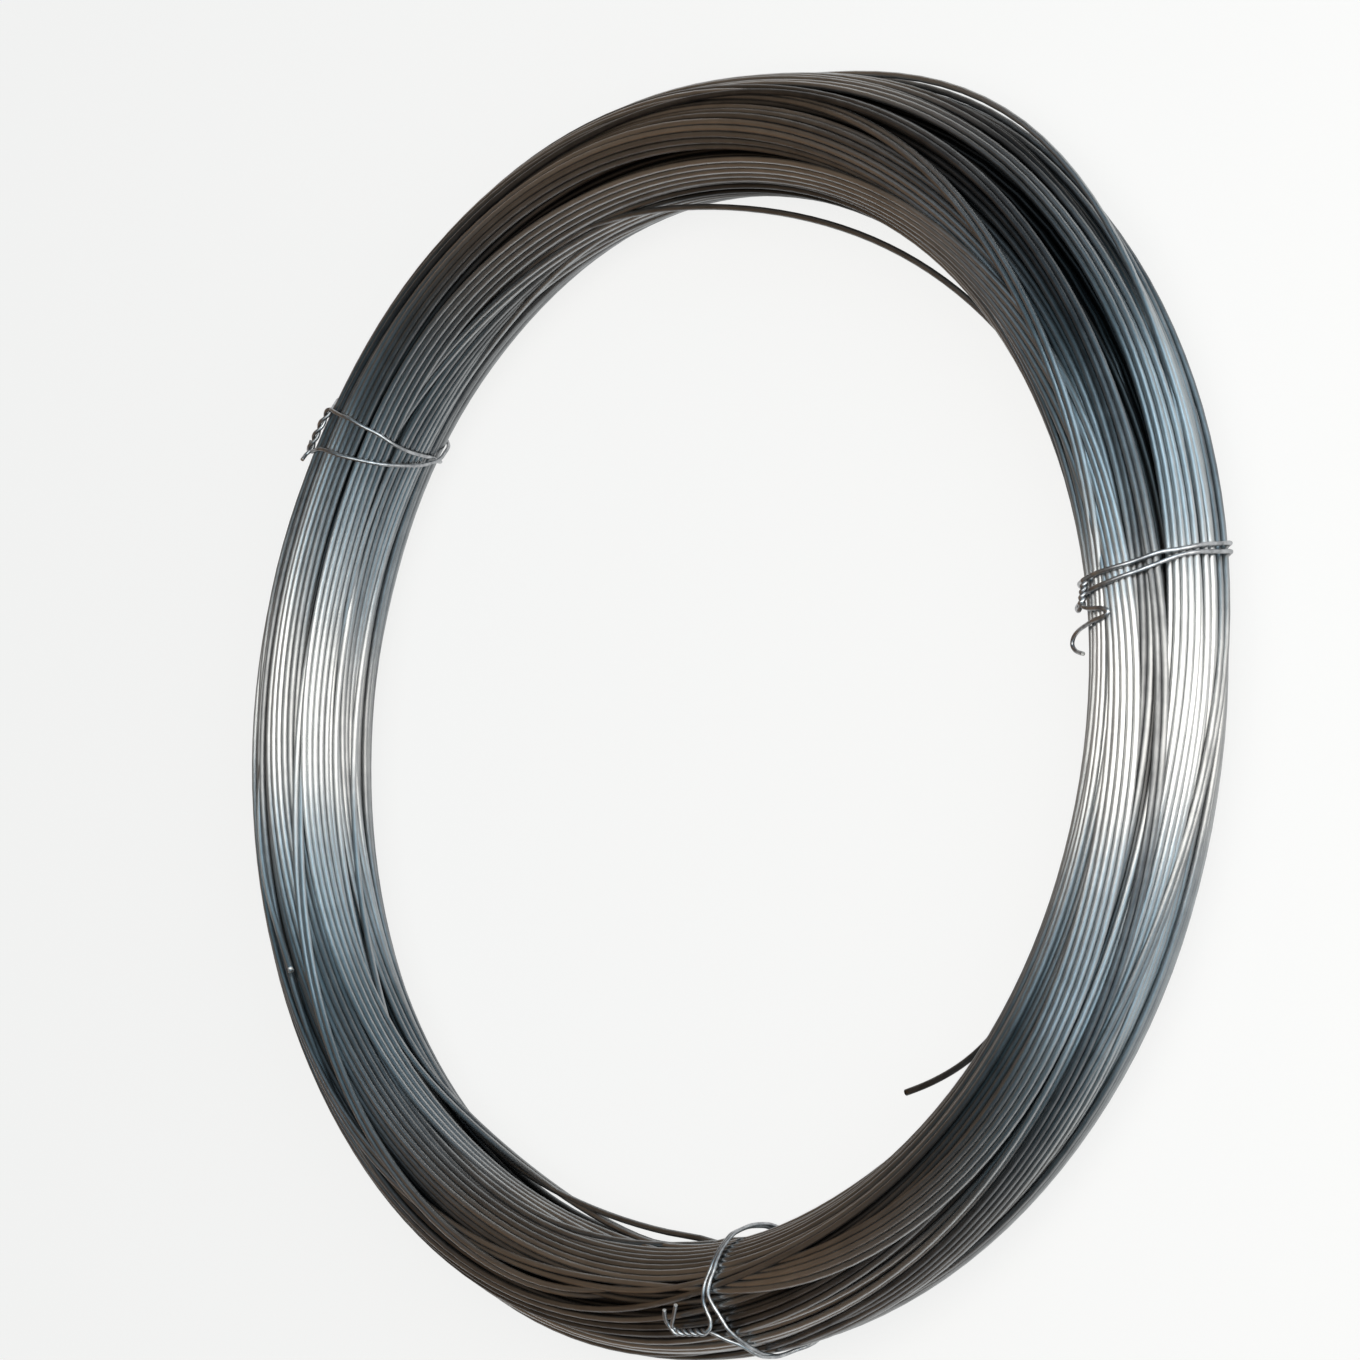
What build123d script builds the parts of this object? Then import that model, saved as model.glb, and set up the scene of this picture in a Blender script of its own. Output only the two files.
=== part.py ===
from build123d import *
import os
from math import asin, atan2, cos, degrees, hypot, pi, radians, sin, sqrt

os.makedirs("parts", exist_ok=True)

# A coil of spring-hard galvanised wire, lying on one end, held by three doubled tie wires.
# Millimetres and degrees. The coil's axis is +Z through the origin, and the coil rests on
# its ties at Z = 0. Directions round the coil are counted from +X towards +Y.

# The wire and the bundle that it is wound into
wire_dia = 2.5
bore_dia = 407.0
build_up = 46.5            # thickness of the bundle, from the bore to the outside
coil_width = 54.0          # along the axis
rows_on_end = 7            # turns that show as rows across the crown of each end
outer_grooves = (16.5, -17.5)    # heights over the middle where two bands of turns meet outside
bore_grooves = (14.0, -16.0)     # the same in the bore
groove_depth = 2.2
groove_width = 3.2

# Turns that slide outwards between two ties and fan out of the bundle
fan_direction = 50.0
fan_half_span = 44.0
fan_stand_out = 12.5
fan_build = 20.0
fan_width = 30.0
fan_rows = 7

# Single slack turns: direction of the middle, half span, gap to the bundle, height over the middle
slack_inner_turns = [(77.0, 42.0, 6.2, 4.0), (-109.0, 27.0, 3.4, 6.0)]
slack_outer_turns = [(56.0, 24.0, 2.6, 0.0), (9.0, 24.0, 1.6, -3.0)]
slack_bury = 2.0           # depth of a slack turn's two ends inside the bundle
wire_sides = 6             # flats that round a single wire

# The wire's two ends: one stands into the eye, one lies over the turns of the upper end
eye_end_direction = -48.0
eye_end_reach = 16.5       # how far the tip stands in from the bore
eye_end_leaves = 11.0      # degrees from the tip to where the wire leaves the bore
eye_end_height = 3.0
crown_end_direction = -150.5
crown_end_span = 24.0

# Tie wires
tie_wire_dia = 1.6
tie_sides = 16             # straight lengths that a tie strand is bent into round the bundle
tie_clearance = 0.25       # from the bundle to the nearer strand
strand_lift = 0.35         # the second strand lies this much further out
twist_pitch = 6.0
twist_turns = 1.5
twist_steps = 6            # straight lengths in each turn of the twist
twist_lean = 24.0          # the twist leans this much away from the bundle
tail_length = 9.0
# Direction, place of the twist round the bundle, half angle between the strands,
# slack in the eye, slack outside, and the way that the twist points round the coil
ties = [
    (12.5, 148.0, 4.0, 0.5, 0.3, -1),
    (150.0, 20.0, 5.0, 0.3, 0.3, 1),
    (-79.0, 68.0, 5.0, 4.0, 2.0, -1),
]

wire_r = wire_dia / 2
tie_r = tie_wire_dia / 2
half_build = build_up / 2
half_width = coil_width / 2
bore_r = bore_dia / 2
mid_r = bore_r + half_build
outer_r = bore_r + build_up
mid_height = half_width + tie_clearance + strand_lift + tie_wire_dia


def at(radius, direction, height=mid_height):
    """A point at a radius from the coil's axis."""
    return Vector(radius * cos(radians(direction)), radius * sin(radians(direction)), height)


def row_outline(half_r, half_z, middle, count):
    """Wires side by side on an ellipse: a crest on each, and a groove where two of them meet."""
    inner_r, inner_z = half_r - wire_r, half_z - wire_r

    def centre(turn):
        return Vector(inner_r * cos(turn), inner_z * sin(turn))

    def next_turn(turn, way):
        step = way * 0.1
        for _ in range(12):
            step *= wire_dia / (centre(turn + step) - centre(turn)).length
        return turn + step

    turns = [radians(middle)]
    for _ in range(count // 2):
        turns = [next_turn(turns[0], -1)] + turns + [next_turn(turns[-1], 1)]
    points = []
    for index, turn in enumerate(turns):
        if index:
            points.append((centre(turns[index - 1]) + centre(turn)) / 2)
        outwards = Vector(cos(turn) / inner_r, sin(turn) / inner_z).normalized()
        points.append(centre(turn) + outwards * wire_r)
    return points


def band_groove(side, height):
    """The groove on one side of the bundle where two bands of turns meet, from its upper lip down."""
    turn = asin(height / half_width)
    joint = Vector(side * half_build * cos(turn), height)
    up = Vector(-side * half_build * sin(turn), half_width * cos(turn)).normalized() * groove_width / 2
    outwards = Vector(side * cos(turn) / half_build, sin(turn) / half_width).normalized()
    return [joint + up, joint - outwards * groove_depth, joint - up]


def wall_outline(side, grooves):
    """Three bands of turns down one side of the bundle, which is widest at its middle height."""
    upper, lower = (band_groove(side, height) for height in grooves)
    return upper + [Vector(side * half_build, 0)] + lower


def along_arc(section, start, middle, end):
    """Turn a flat section about the centre of the arc through three points."""
    arc = Edge.make_three_point_arc(start, middle, end)
    centre = arc.arc_center
    plane = Plane(origin=arc @ 0, x_dir=(arc @ 0) - centre, z_dir=arc % 0)
    return revolve(plane * section, Axis(centre, arc.normal()), degrees(arc.length / arc.radius))


def bundle():
    """The wound turns as one turned solid, with rows on both ends and bands down both walls."""
    upper = row_outline(half_build, half_width, 90, rows_on_end)
    lower = [Vector(point.X, -point.Y) for point in reversed(upper)]
    outer_wall = wall_outline(1, outer_grooves)
    outline = upper + wall_outline(-1, bore_grooves) + lower + outer_wall[::-1]
    section = Plane.XZ * make_face(Polyline(*outline, close=True))
    return revolve(Pos(mid_r, 0, mid_height) * section, Axis.Z, 360)


def fan_points():
    """Where the middle of the fanned turns starts, stands out furthest and ends."""
    ends = mid_r + half_build / 8
    return (
        at(ends, fan_direction - fan_half_span),
        at(outer_r + fan_stand_out - fan_build / 2, fan_direction),
        at(ends, fan_direction + fan_half_span),
    )


def arc_reach(points, half_thickness, direction):
    """Radius of an arc's outside in one direction, or of the bundle's outside where that is more."""
    arc = Edge.make_three_point_arc(*points)
    centre = arc.arc_center
    first, last = sorted(degrees(atan2(point.Y, point.X)) for point in (points[0], points[2]))
    if not first < direction < last:
        return outer_r
    turn = radians(direction) - atan2(centre.Y, centre.X)
    offset = hypot(centre.X, centre.Y)
    reach = arc.radius + half_thickness
    return max(outer_r, offset * cos(turn) + sqrt(reach**2 - (offset * sin(turn)) ** 2))


def slack_outer_points(direction, half_span, gap, height):
    """Where a slack turn leaves the outside, stands off it furthest and comes back."""
    def fanned(way):
        return arc_reach(fan_points(), fan_build / 2, way)

    level = mid_height + height
    start, end = direction - half_span, direction + half_span
    return (
        at(fanned(start) - wire_r - slack_bury, start, level),
        at(fanned(direction) + gap + wire_r, direction, level),
        at(fanned(end) - wire_r - slack_bury, end, level),
    )


def outside_at(direction):
    """Radius of everything that a tie has to go round in one direction."""
    arcs = [(fan_points(), fan_build / 2)]
    arcs += [(slack_outer_points(*turn), wire_r) for turn in slack_outer_turns]
    return max(arc_reach(points, thickness, direction) for points, thickness in arcs)


def fanned_turns():
    """The group of turns that has slid outwards between two ties."""
    outer = row_outline(fan_build / 2, fan_width / 2, 0, fan_rows)
    inner = [Vector(-point.X, point.Y) for point in (outer[-1], outer[0])]
    return along_arc(make_face(Polyline(*outer, *inner, close=True)), *fan_points())


def single_wire(start, middle, end):
    """One wire of the coil along an arc."""
    return along_arc(RegularPolygon(wire_r, wire_sides, major_radius=False), start, middle, end)


def slack_turns():
    """Single turns that stand off the bore or off the outside."""
    wires = []
    for direction, half_span, gap, height in slack_inner_turns:
        ends = bore_r + wire_r + slack_bury
        level = mid_height + height
        wires.append(single_wire(
            at(ends, direction + half_span, level),
            at(bore_r - gap - wire_r, direction, level),
            at(ends, direction - half_span, level),
        ))
    return wires + [single_wire(*slack_outer_points(*turn)) for turn in slack_outer_turns]


def wire_ends():
    """The two cut ends of the coil's one wire."""
    level = mid_height + eye_end_height
    leaves = eye_end_direction + eye_end_leaves
    eye_end = single_wire(
        at(bore_r + wire_r + slack_bury, leaves + eye_end_leaves, level),
        at(bore_r, leaves, level),
        at(bore_r - eye_end_reach, eye_end_direction, level),
    )
    crown = mid_height + half_width
    crown_end = single_wire(
        at(mid_r + half_build / 4, crown_end_direction - crown_end_span, crown - 2 * wire_dia),
        at(mid_r + half_build / 12, crown_end_direction - crown_end_span / 2, crown - wire_r / 2),
        at(mid_r, crown_end_direction, crown + wire_r / 3),
    )
    return [eye_end, crown_end]


def strand_loop(lift, inner_slack, outer_slack):
    """A closed loop of tie wire round the bundle's section, in the XZ plane about its centre."""
    clear = tie_clearance + lift + tie_r
    points = []
    for corner in range(tie_sides):
        turn = 2 * pi * (corner + 0.5) / tie_sides
        beyond = outer_slack if cos(turn) > 0 else inner_slack
        across = (half_build + clear + beyond) / cos(pi / tie_sides)
        along = (half_width + clear) / cos(pi / tie_sides)
        points.append(Vector(across * cos(turn), 0, along * sin(turn)))
    path = Wire.make_polygon(points, close=True)
    start = Plane(origin=path @ 0, x_dir=(0, 1, 0), z_dir=path % 0)
    section = RegularPolygon(tie_r, wire_sides, major_radius=False, rotation=90 - 180 / wire_sides)
    return sweep(start * section, path=path, transition=Transition.RIGHT)


def twisted_end(phase):
    """One strand of the twist, with its bent tail, along +Z from the origin."""
    core = tie_r * 0.85
    points = []
    for step in range(int(twist_turns * twist_steps) + 1):
        turn = 2 * pi * step / twist_steps + radians(phase)
        height = twist_pitch * step / twist_steps
        points.append(Vector(core * cos(turn), core * sin(turn), height))
    last = points[-1]
    away = Vector(last.X, last.Y, 0).normalized()
    points.append(last + away * (tail_length * 0.3) + Vector(0, 0, tail_length * 0.4))
    points.append(points[-1] + away * (tail_length * 0.4) - Vector(0, 0, tail_length * 0.1))
    path = Wire.make_polygon(points, close=False)
    start = Plane(origin=path @ 0, z_dir=path % 0)
    section = RegularPolygon(tie_r, wire_sides, major_radius=False)
    return sweep(start * section, path=path, transition=Transition.RIGHT)


def tie_wire(direction, twist_place, half_angle, inner_slack, outer_slack, way):
    """A doubled tie wire: two strands that cross at the twist, and the twist's bent tails."""
    outer_slack += max(outside_at(direction + side * half_angle / 4) for side in (-1, 1)) - outer_r
    clear = tie_clearance + tie_r
    beyond = outer_slack if cos(radians(twist_place)) > 0 else inner_slack
    knot_x = (half_build + clear + beyond) * cos(radians(twist_place))
    knot_z = (half_width + clear) * sin(radians(twist_place))
    crossing = Pos(knot_x, 0, 0)
    turned = crossing * Rot(0, 0, half_angle) * crossing.inverse()
    near = turned * strand_loop(0, inner_slack, outer_slack)
    far = turned.inverse() * strand_loop(strand_lift, inner_slack, outer_slack)
    outwards = Vector(knot_x / half_build**2, 0, knot_z / half_width**2).normalized()
    lean = radians(twist_lean)
    heading = Vector(0, way, 0) * cos(lean) + outwards * sin(lean)
    start = Vector(knot_x, 0, knot_z) + outwards * tie_r / 2
    knot = Plane(origin=start, x_dir=outwards.cross(heading), z_dir=heading)
    tie = near + far + knot.location * twisted_end(0) + knot.location * twisted_end(180)
    return Rot(0, 0, direction) * Pos(mid_r, 0, mid_height) * tie


def wire_coil():
    """The whole coil, one continuous wire."""
    coil = bundle() + fanned_turns()
    for wire in slack_turns() + wire_ends():
        coil = coil + wire
    return coil


nodes = {"wire_coil": wire_coil()}
for number, tie in enumerate(ties, start=1):
    nodes[f"tie_wire_{number}"] = tie_wire(*tie)
for name, shape in nodes.items():
    export_step(shape, f"parts/{name}.step")
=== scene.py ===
import bpy
import numpy as np
from mathutils import Matrix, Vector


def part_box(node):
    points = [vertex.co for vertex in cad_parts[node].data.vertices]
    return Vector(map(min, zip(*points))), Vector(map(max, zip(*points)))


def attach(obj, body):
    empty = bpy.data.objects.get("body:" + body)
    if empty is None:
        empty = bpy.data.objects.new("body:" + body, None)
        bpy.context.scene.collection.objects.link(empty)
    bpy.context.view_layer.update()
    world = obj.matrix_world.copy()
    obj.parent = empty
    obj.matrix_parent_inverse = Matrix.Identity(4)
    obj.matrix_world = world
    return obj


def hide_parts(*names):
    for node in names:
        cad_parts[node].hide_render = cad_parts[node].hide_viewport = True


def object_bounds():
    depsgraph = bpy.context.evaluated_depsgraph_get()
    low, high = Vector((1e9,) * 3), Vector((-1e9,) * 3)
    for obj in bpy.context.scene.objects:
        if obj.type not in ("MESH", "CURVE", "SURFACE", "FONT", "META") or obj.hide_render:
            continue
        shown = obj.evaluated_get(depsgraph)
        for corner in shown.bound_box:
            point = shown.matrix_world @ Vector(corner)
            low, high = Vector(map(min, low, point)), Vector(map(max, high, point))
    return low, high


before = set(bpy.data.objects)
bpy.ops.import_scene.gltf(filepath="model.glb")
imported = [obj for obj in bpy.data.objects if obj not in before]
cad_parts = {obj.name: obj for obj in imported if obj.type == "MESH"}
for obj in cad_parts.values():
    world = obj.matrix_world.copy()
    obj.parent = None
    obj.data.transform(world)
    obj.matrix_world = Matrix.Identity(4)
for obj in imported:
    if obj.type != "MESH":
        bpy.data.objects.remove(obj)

cadBox = [list(map(float, corner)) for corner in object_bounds()]

# A coil of spring-hard galvanised wire that lies on its three doubled tie wires.
# The wires are worked out in millimetres, and addMesh turns them to metres. The finishes, the
# floor, the camera and the lamps are in metres. Directions are degrees from +X towards +Y.
metresPerMm = 0.001
tiny = 1e-9                      # keeps a division by a length from failing
seed = 11
rng = np.random.default_rng(seed)

coil = {
    "wireDia": 2.5,
    "boreDia": 407.0,
    "buildUp": 46.5,             # from the bore to the outside
    "width": 54.0,               # along the coil's axis
    "stations": 72,              # places round the coil where the turns are packed
    "finer": 2,                  # points along the wire for each station
    "seam": -79.0,               # direction in which a turn ends and the next begins, below a tie
    "seamSteps": 10,             # the wire eases from one turn into the next this many times
    "seamShare": 0.5,            # by this share each time
    "layerStep": 2.3,            # depth from one layer of turns to the next
    "layersShown": 4,            # layers that can be seen into from outside
    "sides": (12, 12, 10, 6),    # flats round the wire, layer by layer
    "sidesWithin": 5,            # flats round the turns further in
    "everyWithin": 2,            # of their points along the wire, one in this many is kept
    "pitch": 1.01,               # from one turn of a band to the next, in wire diameters
    "bandTurns": (3, 10),        # turns that run side by side before a groove
    "groove": (0.4, 1.5),        # width of a groove, in wire diameters
    "grooveWithin": 0.3,         # share of that width which the layers further in have
    "bandNumbers": 100,          # numbers kept for the bands of each layer
    "looseBands": 8,             # bands that lie over the others on the outside and wander across them
    "looseTurns": (2, 6),        # turns in each of those
    "loosePlace": (0.1, 0.9),    # where each begins in its own share of the outline
    "sway": (4.6, 3.4, 2.0, 1.1),    # how far a band sways across the coil, once to four times a turn
    "looseSway": 1.6,            # a loose band sways this many times as far
    "turnSway": 0.1,             # and each turn on its own this many times as far
    "crossing": (5.5, 13.0),     # a loose band steps this far across, within this many degrees,
    "crossingSize": (0.6, 1.6),      # times a number drawn from here,
    "crossingPlace": (0.15, 0.85),   # somewhere in this part of each half turn
    "unevenness": 0.03,          # how unevenly the turns lie before they are packed
    "tieDirections": (12.5, 150.0, -79.0),
    "pinch": 0.8,                # the ties draw the bundle in by this much
    "pinchSpan": 20.0,           # most at a tie, and not at all this many degrees away
    "recess": (0.3, 2.0),        # turns this many diameters under the outline begin to get painted shade, and are fully shaded
    "endDrawnIn": (0.25, 5),     # share by which the first end lies further in, and over how many stations
}

# How the laid turns are pushed apart, step by step; lengths are in wire diameters
packing = {
    "steps": 240,
    "fanSteps": 60,              # steps after the fan has slid out
    "draw": 0.0002,              # share by which every turn is drawn towards the bundle's middle
    "searchEvery": 10,           # steps between two searches for neighbours
    "searchReach": 1.6,          # how near two neighbours lie
    "push": 1.1,                 # share of an overlap that is undone
    "bandPull": 0.25,            # share of a gap between two turns of a band that is closed
    "bandReach": 3,              # turns of a band that have parted further are left alone
    "stiffness": (0.5, 0.4),     # shares by which the wire straightens, one after the other
    "press": 0.5,                # share of the way past the outline that is pressed back
    "pressMost": 0.2,            # but no more than this share of the way to the middle
}

# Turns that have slid outwards between two ties and fan out of the bundle. Their face is
# a flat slope that starts under the edge of the turns that held back.
fan = {
    "standOut": 12.5,
    "furthest": 52.0,            # direction in which they stand out furthest
    "spans": (58.0, 40.0),       # from where they start on one side, to where they end on the other
    "wellOut": 0.6,              # share of the hump from which a turn's place in the bundle is read
    "faceFrom": (20.6, 14.4),    # the face's upper edge, out from the bundle's middle and over it
    "faceTo": (34.6, -1.0),      # its outer edge
    "layFrom": 36.0,             # degrees over the middle where the turns of the face lay before
    "layTo": -9.0,
    "edgeTo": 60.0,              # from the face up to here lies the edge of the turns that held back
    "faceDepth": (4.0, 12.0),    # turns under the face follow it less from here to here
    "mostly": 0.5,               # turns that follow it more than this are its own
    "slideFrom": 3.0,            # other turns this far out of the bundle's middle begin to slide
    "heldBack": 0.56,            # share of the slide left to the turns above the face
    "sway": 0.04,                # share by which each turn's slide wanders
}

# Single turns that stand off the bore or the outside, in rows of:
# direction of the middle, half span, gap to the bundle, height over the middle, number of turns
slack = {
    "bore": [(77.0, 42.0, 6.2, 4.0, 1), (-113.0, 25.0, 1.6, -4.0, 2), (-99.0, 27.0, 2.6, -2.0, 1)],
    "outside": [(56.0, 26.0, 2.0, 0.0, 1)],
    "heightCounts": 0.9,         # how much a turn's distance in height tells against it
    "clearWithin": 12,           # they stand clear of the turns that are this near in height
}

hullStep = 2                     # degrees between two directions of an outline
hullSpan = 62                    # degrees along the coil, further than a tie or wire end reaches
wireRadius = coil["wireDia"] / 2
halfBuild = coil["buildUp"] / 2
halfWidth = coil["width"] / 2
boreRadius = coil["boreDia"] / 2
middleRadius = boreRadius + halfBuild
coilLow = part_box("wire_coil")[0]
middleHeight = coilLow.z / metresPerMm + halfWidth


def unit(vectors):
    # the same directions, each one long
    return vectors / np.linalg.norm(vectors, axis=-1, keepdims=True)


def smoothStep(value, low, high):
    # 0 up to low and 1 from high, with three squares less two cubes of the share in between
    share = np.clip((value - low) / (high - low), 0, 1)
    return share * share * (3 - 2 * share)


def awayFrom(around, direction):
    # degrees round the coil from a direction, less than half a turn to either side
    return (np.degrees(around) - direction + 180) % 360 - 180


def lengthAlong(path):
    # length from the path's start to each of its points
    return np.concatenate([[0], np.cumsum(np.linalg.norm(np.diff(path, axis=0), axis=1))])


def ellipseLength(halfR, halfZ):
    # turn angles of an ellipse, four to a degree, and the length along it up to each
    turn = np.linspace(0, 2 * np.pi, 4 * 360 + 1)
    steps = np.hypot(np.diff(halfR * np.cos(turn)), np.diff(halfZ * np.sin(turn)))
    return turn, np.concatenate([[0], np.cumsum(steps)])


def bandPlaces(length, pitch, grooves):
    # places along one layer: bands of touching turns, each band one groove from the next, all
    # scaled to the layer's length
    places, bands, here, band = [], [], 0.0, 0
    while here < length:
        count = int(rng.integers(*coil["bandTurns"]))
        places += [here + pitch * turn for turn in range(count)]
        bands += [band] * count
        here += pitch * count + grooves * coil["wireDia"] * rng.uniform(*coil["groove"])
        band += 1
    places = np.array(places) * length / here
    return places, np.array(bands)


def sway(count, around, share):
    # a slow wander across the coil: cosines once to four times round, with drawn sizes
    waves = len(coil["sway"])
    sizes = rng.normal(0, 1, (count, waves)) * np.array(coil["sway"]) * share
    phases = rng.uniform(0, 2 * np.pi, (count, waves))
    times = np.arange(1, waves + 1)
    return (sizes[:, :, None] * np.cos(times[None, :, None] * around + phases[:, :, None])).sum(1)


def crossings(count, around):
    # loose bands step across the others: a hyperbolic tangent somewhere on each half of the turn
    gone = around - around[0]
    steps = np.zeros((count, len(around)))
    far, within = coil["crossing"]
    for half in (0, np.pi):
        where = half + rng.uniform(*coil["crossingPlace"], (count, 1)) * np.pi
        across = rng.choice([-1, 1], (count, 1)) * rng.uniform(*coil["crossingSize"], (count, 1)) * far
        steps += across * np.tanh((gone - where) / np.radians(within))
    return steps


def looseBands(length, pitch):
    # a few narrow bands along the outermost layer, one in each equal share of its length
    many = coil["looseBands"]
    counts = rng.integers(*coil["looseTurns"], many)
    starts = (np.arange(many) + rng.uniform(*coil["loosePlace"], many)) * length / many
    places = np.concatenate([start + pitch * np.arange(count) for start, count in zip(starts, counts)])
    return places, np.repeat(np.arange(many), counts)


def layTurns(around):
    # turns layer by layer from the outside in, each layer an ellipse: every turn goes once round
    # the coil while it moves on to the place of the next
    laid, layers, bandOf, layer = [], [], [], 0
    pitch = coil["wireDia"] * coil["pitch"]
    gone = (around - around[0]) / (2 * np.pi)
    while True:
        depth = wireRadius + coil["layerStep"] * layer
        halfR, halfZ = halfBuild - depth, halfWidth - depth
        if halfR < wireRadius:
            break
        turn, along = ellipseLength(halfR, halfZ)
        if layer == 0:
            places, bands = looseBands(along[-1], pitch)
            wander = sway(coil["looseBands"], around, coil["looseSway"])
            wander = wander + crossings(coil["looseBands"], around)
        else:
            grooves = 1 if layer < coil["layersShown"] else coil["grooveWithin"]
            places, bands = bandPlaces(along[-1], pitch, grooves)
            wander = sway(bands[-1] + 1, around, 1.0)
        wander = wander[bands] + sway(len(places), around, coil["turnSway"])
        ahead = np.append(places[1:], places[0] + along[-1]) - places
        where = (places[:, None] + ahead[:, None] * gone + wander) % along[-1]
        angle = np.interp(where, along, turn)
        laid.append(np.stack([halfR * np.cos(angle), halfZ * np.sin(angle)], -1))
        layers += [layer] * len(places)
        bandOf += [coil["bandNumbers"] * layer + band for band in bands]
        layer += 1
    return np.concatenate(laid), np.array(layers), np.array(bandOf)


def touchingPairs(section, reach):
    # every two turns of a station that lie nearer than the reach, as places in the flat list
    turns = section.shape[1]
    gaps = section[:, :, None, :] - section[:, None, :, :]
    near = (gaps ** 2).sum(-1) < reach ** 2
    near &= np.tri(turns, k=-1, dtype=bool)
    station, first, second = np.nonzero(near)
    return station * turns + first, station * turns + second


def pushApart(section, first, second, share):
    # two turns that overlap move apart along the line between them, until they are a diameter apart
    flat = section.reshape(-1, 2)
    gaps = flat[first] - flat[second]
    distance = np.hypot(gaps[:, 0], gaps[:, 1]) + tiny
    push = (0.5 * share * np.maximum(0, coil["wireDia"] - distance) / distance)[:, None] * gaps
    moved = [np.bincount(first, push[:, axis], len(flat)) - np.bincount(second, push[:, axis], len(flat))
             for axis in (0, 1)]
    return section + np.stack(moved, -1).reshape(section.shape)


def holdBands(section, bandOf, share):
    # turns that run side by side in a band draw together until they touch
    mates = np.nonzero(bandOf[1:] == bandOf[:-1])[0]
    gaps = section[:, mates + 1] - section[:, mates]
    distance = np.linalg.norm(gaps, axis=-1, keepdims=True) + tiny
    together = distance < packing["bandReach"] * coil["wireDia"]
    apart = np.where(together, np.maximum(0, distance - coil["wireDia"]), 0)
    pull = gaps / distance * apart * share / 2
    section[:, mates] += pull
    section[:, mates + 1] -= pull
    return section


def straighten(section, share):
    # the wire's stiffness: each place moves towards the middle of the places before and after it
    line = section.transpose(1, 0, 2).reshape(-1, 2)
    middle = line.copy()
    middle[1:-1] = (line[:-2] + line[2:]) / 2
    line = line + share * (middle - line)
    return line.reshape(section.shape[1], section.shape[0], 2).transpose(1, 0, 2)


def bell(around, direction, span):
    # 1 in one direction, falling to 0 a span away, as one less the square of the share of the
    # span, to the power of one and a half
    away = (around - np.radians(direction) + np.pi) % (2 * np.pi) - np.pi
    return np.maximum(0, 1 - (away / np.radians(span)) ** 2) ** 1.5


def packTurns(section, around, bandOf, steps, slide, draw):
    # overlaps are pushed out, each push spread along the stiff wire, while the ties hold the
    # bundle's outline: an ellipse, moved outwards for the turns that have slid
    laid = section
    pinched = sum(bell(around, direction, coil["pinchSpan"]) for direction in coil["tieDirections"])
    drawnIn = pinched * coil["pinch"]
    limit = np.stack([halfBuild - wireRadius - drawnIn, halfWidth - wireRadius - drawnIn], -1)
    for step in range(steps):
        if step % packing["searchEvery"] == 0:
            first, second = touchingPairs(section, packing["searchReach"] * coil["wireDia"])
        section = pushApart(section, first, second, packing["push"])
        section = holdBands(section, bandOf, packing["bandPull"])
        moved = section - laid
        for share in packing["stiffness"]:
            moved = straighten(moved, share)
        section = laid + moved
        home = section - slide
        outside = np.sqrt(((home / limit[:, None, :]) ** 2).sum(-1))
        inwards = np.clip((outside - 1) * packing["press"], draw, packing["pressMost"])
        section = slide + home * (1 - inwards)[..., None]
    return section


def hullReach(sections, offset):
    # the outline that a wire lies on: the convex hull of the turns grown by the offset, as the
    # distance from the bundle's middle in every direction, which is the least that any side allows
    grazing = 0.05               # a side met at a smaller cosine than this allows any distance
    facing = np.radians(np.arange(0, 360, hullStep))
    support = (sections @ np.stack([np.cos(facing), np.sin(facing)])).max(1) + offset
    toSide = np.cos(facing[:, None] - facing[None, :])
    allowed = support[:, None, :] / np.maximum(toSide, grazing)
    return np.where(toSide > grazing, allowed, np.inf).min(-1)


def recessed(section):
    # 0 for the outermost turns, growing to 1 for turns a few diameters under the outline; the finish paints
    # shade by it
    distance = np.hypot(section[..., 0], section[..., 1])
    facing = np.degrees(np.arctan2(section[..., 1], section[..., 0])) % 360
    column = (facing / hullStep).astype(int) % int(360 / hullStep)
    outline = np.take_along_axis(hullReach(section, 0), column, 1)
    return smoothStep((outline - distance) / coil["wireDia"], *coil["recess"])


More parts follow.
